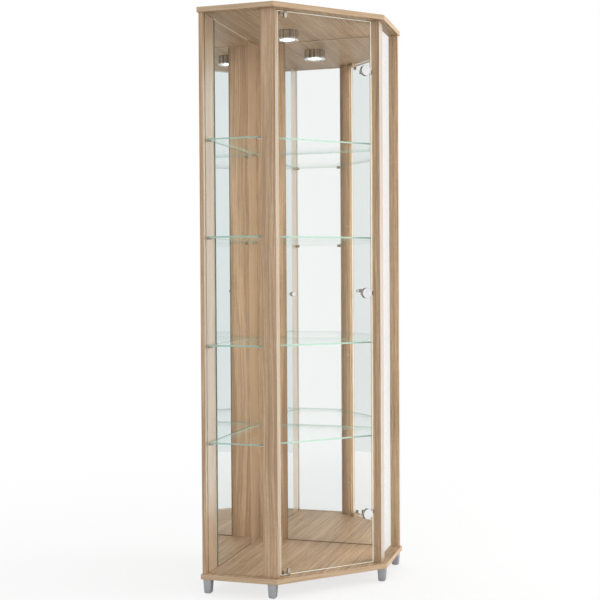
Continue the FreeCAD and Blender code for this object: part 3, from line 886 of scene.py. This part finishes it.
@dataclass
class ShelfPins:
    """The shelf pins with a turned collar where each leaves its board or post."""

    heights: tuple[float, ...] = (437.0 * MM, 725.0 * MM, 1045.0 * MM, 1333.0 * MM)
    board_face: float = 16.0 * MM
    post_back: float = 189.0 * MM
    near_corner: float = 60.0 * MM
    near_pane: float = 466.4 * MM
    pin_radius: float = 2.5 * MM
    radius: float = 3.6 * MM
    thickness: float = 1.0 * MM

    def roots(self) -> list[tuple[Vector, Vector]]:
        """Finds where the pins leave the boards and posts.

        Returns:
            Each pin's place and the way it points.
        """
        found = []
        for side in Side:
            for height in self.heights:
                for along in (self.near_corner, self.near_pane):
                    found.append((side.point(along, self.board_face, height), side.inward()))
                found.append((side.point(self.near_pane, self.post_back, height),
                              -side.inward()))
        return found

    def build(self, palette: Palette) -> None:
        """Turns one collar, copies it to every pin and dresses the pins.

        Args:
            palette: The shared metals.
        """
        inner = self.pin_radius + 0.05 * MM
        profile = [(self.radius, 0.0), (self.radius, self.thickness * 0.5),
                   (self.radius * 0.9, self.thickness), (inner, self.thickness), (inner, 0.0)]
        model = turned("pin_collar_01", profile, 20, ring=True)
        roots = self.roots()
        collars = [model] + [copy_of(model, "pin_collar_%02d" % number)
                             for number in range(2, len(roots) + 1)]
        for collar, (place, way) in zip(collars, roots):
            settle(aim(collar, place, way), palette.nickel, Body.CABINET)
        dress_nodes(["shelf_pins"], palette.nickel)


@dataclass
class Hinges:
    """The three hinges: domed chrome caps outside, cups and arms inside."""

    cap_x: float = 138.523 * MM
    door_front: float = -231.86 * MM
    heights: tuple[float, ...] = (209.5 * MM, 881.5 * MM, 1553.5 * MM)
    cap_radius: float = 16.0 * MM
    cap_height: float = 5.0 * MM
    cap_seat: float = 0.25 * MM
    cap_rim: float = 1.3 * MM
    cap_rim_steps: int = 5
    cap_crown: float = 0.5 * MM

    def cap_profile(self) -> Profile:
        """Draws the cap's outline.

        Returns:
            Radii and heights from its seat on the glass to the middle of its domed face.
        """
        radius, height, seat = self.cap_radius, self.cap_height, self.cap_seat
        rim, crown = self.cap_rim, self.cap_crown
        profile = [(radius - seat, 0.0), (radius, seat), (radius, height - rim - crown)]
        for step in range(1, self.cap_rim_steps + 1):
            turn = math.radians(90.0 / self.cap_rim_steps * step)
            profile.append((radius - rim * (1.0 - math.cos(turn)),
                            height - rim - crown + rim * math.sin(turn)))
        dome = [(0.84, 0.62), (0.70, 0.76), (0.54, 0.87), (0.36, 0.95), (0.18, 0.99), (0.02, 1.0)]
        for share, rise in dome:
            profile.append((radius * share, height - crown + crown * rise))
        return profile

    def build(self, palette: Palette) -> None:
        """Turns the caps and dresses the cups, pins, arms and screws.

        Args:
            palette: The shared metals.
        """
        model = turned("domed_hinge_cap_1", self.cap_profile(), 64, smooth_angle=40.0)
        count = len(self.heights)
        caps = [model] + [copy_of(model, name) for name in numbered("domed_hinge_cap", count)[1:]]
        for number, (cap, height) in enumerate(zip(caps, self.heights), 1):
            aim(cap, Vector((self.cap_x, self.door_front, height)), FRONT)
            dress(cap, palette.chrome)
            # The cap's rim and side wall get the dark chrome: painted shade, darker than the lit
            # face.
            paint_side_shade(cap, palette.dark_chrome, FRONT)
            settle(cap, palette.chrome, Body.DOOR, ["hinge_cap_%d" % number])
        dress_nodes(numbered("hinge_cup", count) + numbered("hinge_arm", count),
                    palette.dark_chrome)
        dress_nodes(["hinge_pins"], palette.nickel)
        dress_nodes(["hinge_cap_screws", "hinge_arm_screws"], palette.zinc)


@dataclass
class Knob:
    """The turned chrome knob on the door."""

    x: float = -118.723 * MM
    height: float = 881.5 * MM
    door_front: float = -231.86 * MM

    def profile(self) -> Profile:
        """Gives the knob's outline: foot, waist, head with rounded ends and a shallow dish."""
        points = [(5.2, 0.0), (5.2, 0.5), (4.7, 1.0), (4.6, 2.6), (5.0, 3.3), (5.9, 3.6),
                  (6.3, 4.0), (6.5, 4.7), (6.5, 14.4), (6.38, 15.1), (6.05, 15.65), (5.5, 15.95),
                  (5.1, 16.0), (4.7, 15.9), (4.0, 15.72), (2.5, 15.55), (0.6, 15.5)]
        return [(radius * MM, height * MM) for radius, height in points]

    def build(self, palette: Palette) -> None:
        """Turns the knob and dresses its screw.

        Args:
            palette: The shared metals.
        """
        knob = turned("turned_door_knob", self.profile(), 48, smooth_angle=40.0)
        aim(knob, Vector((self.x, self.door_front, self.height)), FRONT)
        dress(knob, palette.chrome)
        # The knob's sides get the dark chrome: painted shade.
        paint_side_shade(knob, palette.dark_chrome, FRONT)
        settle(knob, palette.chrome, Body.DOOR, ["door_knob"])
        dress_nodes(["knob_screw"], palette.zinc)


@dataclass
class Catches:
    """The magnetic catches behind the batten and their strikes on the glass."""

    def build(self, palette: Palette) -> None:
        """Dresses the catches, magnets, strikes and screws.

        Args:
            palette: The shared metals.
        """
        plastic = Plain("catch_plastic", (0.48, 0.36, 0.245), (0.43, 0.32, 0.215), 0.5)
        dress_nodes(["top_catch", "bottom_catch"], plastic.build())
        dress_nodes(["top_strike", "bottom_strike"], palette.nickel)
        dress_nodes(["top_catch_magnet", "bottom_catch_magnet", "catch_screws"], palette.zinc)


@dataclass
class Lamp:
    """The surface lamp under the top panel: housing, bezel ring, lens and board."""

    centre_y: float = 10.863 * MM
    bottom: float = 1677.0 * MM
    ceiling: float = 1705.0 * MM
    radius: float = 36.0 * MM
    opening: float = 25.0 * MM
    board_above: float = 15.4 * MM
    rim: float = 4.0 * MM
    bore: float = 34.5 * MM
    chamber: float = 32.0 * MM
    chamber_depth: float = 11.0 * MM
    roof: float = 2.0 * MM
    sleeve: tuple[float, float] = (33.0 * MM, 34.4 * MM)
    lens_seat: float = 27.5 * MM
    sides: int = 96

    def housing(self) -> Piece:
        """Turns the housing, with a shadow groove under its top edge."""
        low, top, radius = self.rim, self.ceiling - self.bottom, self.radius
        profile = [(radius - 1.0 * MM, top), (radius - 0.2 * MM, top), (radius, top - 0.3 * MM),
                   (radius, top - 1.6 * MM), (radius - 0.7 * MM, top - 1.9 * MM),
                   (radius - 0.7 * MM, top - 2.7 * MM), (radius, top - 3.0 * MM),
                   (radius, low + 0.5 * MM), (radius - 0.5 * MM, low),
                   (self.bore, low), (self.bore, top - self.chamber_depth),
                   (self.chamber, top - self.chamber_depth), (self.chamber, top - self.roof)]
        return turned("turned_lamp_housing", profile, self.sides, smooth_angle=30.0)

    def bezel(self) -> Piece:
        """Turns the bezel ring, dished round the lens, with a sleeve that enters the housing."""
        radius, top, seat = self.radius, self.rim, self.lens_seat
        inner, outer = self.sleeve
        profile = [(outer, top), (radius - 0.3 * MM, top), (radius, 3.7 * MM),
                   (radius, 1.6 * MM), (radius - 0.25 * MM, 0.8 * MM),
                   (radius - 0.85 * MM, 0.2 * MM), (radius - 1.6 * MM, 0.0), (28.4 * MM, 0.0),
                   (27.6 * MM, 0.1 * MM), (26.2 * MM, 0.7 * MM), (self.opening, 1.4 * MM),
                   (self.opening, 2.0 * MM), (seat, 2.0 * MM), (seat, top), (inner, top),
                   (inner, self.board_above), (outer, self.board_above)]
        return turned("turned_lamp_bezel", profile, self.sides, ring=True, smooth_angle=30.0)

    def build(self, palette: Palette) -> None:
        """Builds the housing and bezel and dresses the lens, board, screws and grommet.

        Args:
            palette: The shared metals.
        """
        place = Vector((0.0, self.centre_y, self.bottom))
        # The housing and bezel chrome carries painted reflection streaks round the lamp's axis.
        painted_streak_chrome = Metal("chrome_with_painted_streaks", (0.86, 0.84, 0.80), 0.10, axis=tuple(place)).build()
        for piece, node in ((self.housing(), "lamp_housing"), (self.bezel(), "lamp_bezel")):
            piece.data.transform(Matrix.Translation(place))
            settle(piece, painted_streak_chrome, Body.CABINET, [node])
        lens_middle = (0.0, self.centre_y, self.bottom + 3.0 * MM)
        lens = LampDiffuser("lamp_diffuser", lens_middle, self.opening)
        dress_nodes(["lamp_lens"], lens.build())
        board = Plain("lamp_board", (0.80, 0.80, 0.76), (0.72, 0.72, 0.70))
        dress_nodes(["lamp_board"], board.build())
        rubber = Plain("grommet_rubber", (0.03, 0.03, 0.03), (0.045, 0.045, 0.045), 0.7)
        dress_nodes(["cable_grommet"], rubber.build())
        dress_nodes(["lamp_screws"], palette.zinc)


# ---- Studio
@dataclass(frozen=True)
class SoftLamp:
    """A soft rectangular lamp.

    Attributes:
        name: The lamp's name.
        place: Where it stands.
        target: The point it faces.
        size: Its width and height in metres.
        watts: Its power.
        colour: Its colour.
    """

    name: str
    place: Point
    target: Point
    size: tuple[float, float]
    watts: float
    colour: Colour = (1.0, 1.0, 1.0)

    def build(self) -> None:
        """Adds the lamp to the scene, where neither the camera nor shiny surfaces show it."""
        data = bpy.data.lights.new(self.name, "AREA")
        data.shape = "RECTANGLE"
        data.size, data.size_y = self.size
        data.energy = self.watts
        data.color = self.colour
        lamp = bpy.data.objects.new(self.name, data)
        bpy.context.scene.collection.objects.link(lamp)
        direction = Vector(self.target) - Vector(self.place)
        lamp.rotation_euler = direction.to_track_quat("-Z", "Y").to_euler()
        lamp.location = self.place
        lamp.visible_camera = lamp.visible_glossy = False


@dataclass
class Studio:
    """Floor, world, lamps and camera."""

    floor_half: float = 30.0
    floor_drop: float = 0.4 * MM
    floor_colour: Colour = (0.82, 0.82, 0.82)
    floor_glow_near: float = 0.75
    floor_glow_mirrored: float = 0.15
    floor_glow_span: tuple[float, float] = (0.5, 2.2)
    card_place: Point = (-1.147, -1.638, 1.5)
    card_size: tuple[float, float] = (1.59, 3.0)
    card_depth: float = 20.0 * MM
    card_colour: Colour = (0.81, 0.85, 0.86)
    world_light: float = 0.98
    strip_height: float = 0.88
    strip_length: float = 1.55
    strip_colour: Colour = (1.0, 0.93, 0.78)
    camera_place: Point = (-1.61695, -3.07412, 0.92485)
    camera_yaw: float = 28.2333
    camera_pitch: float = -1.0845
    camera_roll: float = -0.3411
    lens: float = 66.045
    sensor_width: float = 36.0
    view_end: float = 200.0

    def build(self) -> None:
        """Makes the whole studio."""
        self.floor()
        self.card()
        self.world()
        for lamp in self.lamps():
            lamp.build()
        self.camera()

    def floor(self) -> None:
        """Adds the pale floor, which fades to plain white away from the cabinet."""
        clear_selection()
        bpy.ops.mesh.primitive_plane_add(size=2 * self.floor_half,
                                         location=(0.0, 0.0, -self.floor_drop))
        floor = bpy.context.object
        floor.name = "studio_floor"
        material, g = new_graph("studio_floor")
        place = g.node("TexCoord").outputs["Object"]
        speck = g.noise(place, 8.0, 2.0)
        colour = g.mix(g.remap(speck, 0.3, 0.7), self.floor_colour,
                       scaled(self.floor_colour, 0.985))
        matt = g.node("BsdfDiffuse", {"Color": colour})
        glow = g.node("Emission", {"Color": (1.0, 1.0, 1.0), "Strength": 1.0})
        distance = g.vector("LENGTH", place).outputs["Value"]
        mirrored = g.node("LightPath").outputs["Is Glossy Ray"]
        near = g.remap(mirrored, 0.0, 1.0, self.floor_glow_near, self.floor_glow_mirrored)
        far = g.remap(distance, *self.floor_glow_span)
        share = g.math("ADD", near, g.math("MULTIPLY", g.math("SUBTRACT", 1.0, near), far))
        finish_with(g, g.layered(g.math("MULTIPLY", seen_directly(g), share), matt, glow))
        dress(floor, material)

    def card(self) -> None:
        """Adds a cool grey card on the left that only shiny surfaces show."""
        clear_selection()
        bpy.ops.mesh.primitive_plane_add(size=1.0, location=(0.0, 0.0, 0.0))
        card = bpy.context.object
        card.name = "studio_card"
        edit_all()
        bpy.ops.mesh.extrude_region_move(
            TRANSFORM_OT_translate={"value": (0.0, 0.0, self.card_depth)})
        finish_piece(card)
        facing = Vector((-self.card_place[0], -self.card_place[1], 0.0)).normalized()
        axes = Matrix((UP.cross(facing), UP, facing)).transposed().to_4x4()
        card.data.transform(Matrix.Translation(self.card_place) @ axes
                            @ Matrix.Diagonal((*self.card_size, 1.0, 1.0)))
        material, g = new_graph("studio_card")
        place = g.node("TexCoord").outputs["Object"]
        cloud = g.noise(place, (0.8, 0.8, 0.5), 2.0)
        colour = g.mix(g.remap(cloud, 0.3, 0.7), self.card_colour, scaled(self.card_colour, 1.08))
        finish_with(g, g.node("Emission", {"Color": colour}))
        dress(card, material)
        card.visible_camera = card.visible_diffuse = card.visible_shadow = False
        card.visible_transmission = False

    def world(self) -> None:
        """Makes the world grey as a light and white where it is seen."""
        world = bpy.data.worlds.new("studio_world")
        bpy.context.scene.world = world
        world.use_nodes = True
        g = Graph(world.node_tree)
        light = g.node("Background", {"Color": (0.99, 0.995, 1.0), "Strength": self.world_light})
        white = g.node("Background", {"Color": (1.0, 1.0, 1.0), "Strength": 1.0})
        both = g.layered(seen_directly(g), light, white)
        g.node("OutputWorld", {0: both.outputs[0]})

    def lamps(self) -> list[SoftLamp]:
        """Places the main lamp on the right and weak upright strips inside the cabinet.

        Returns:
            The lamps.
        """
        found = [SoftLamp("right_softbox", (3.4, -1.9, 1.6), (0.0, 0.0, 0.8), (2.2, 2.4), 100.0,
                          (1.0, 0.985, 0.96))]
        strips = (              # name, place and target in plan, width, watts
            ("inner_front_strip", (0.0, -0.215), (0.0, 1.0), 0.22, 0.75),
            ("inner_right_strip", (0.2616, -0.143), (0.2616 - 1.0, 0.857), 0.15, 1.35),
            ("inner_back_strip", (0.0, 0.20), (0.0, -1.0), 0.10, 0.35))
        for name, place, target, width, watts in strips:
            found.append(SoftLamp(name, (*place, self.strip_height), (*target, self.strip_height),
                                  (width, self.strip_length), watts, self.strip_colour))
        return found

    def camera(self) -> None:
        """Places the camera."""
        yaw = math.radians(self.camera_yaw)
        pitch = math.radians(self.camera_pitch)
        roll = math.radians(self.camera_roll)
        forward = Vector((math.sin(yaw) * math.cos(pitch), math.cos(yaw) * math.cos(pitch),
                          math.sin(pitch)))
        level = Vector((math.cos(yaw), -math.sin(yaw), 0.0))
        upward = level.cross(forward)
        right = math.cos(roll) * level + math.sin(roll) * upward
        up = -math.sin(roll) * level + math.cos(roll) * upward
        data = bpy.data.cameras.new("camera")
        data.lens = self.lens
        data.sensor_width = self.sensor_width
        data.clip_end = self.view_end
        camera = bpy.data.objects.new("camera", data)
        bpy.context.scene.collection.objects.link(camera)
        facing = Matrix((right, up, -forward)).transposed().to_4x4()
        camera.matrix_world = Matrix.Translation(self.camera_place) @ facing
        bpy.context.scene.camera = camera


def main() -> None:
    """Builds every part of the scene in order."""
    logging.basicConfig(level=logging.INFO, format="%(name)s: %(message)s")
    scene = bpy.context.scene
    scene.view_settings.view_transform = "Standard"
    for name, count in BOUNCES.items():
        setattr(scene.cycles, name, count)
    palette = Palette.mixed()
    Glazing().build()
    for assembly in (Carcass(), Feet(), ShelfPins(), Hinges(), Knob(), Catches(), Lamp()):
        assembly.build(palette)
    Studio().build()


if __name__ == "__main__":
    main()
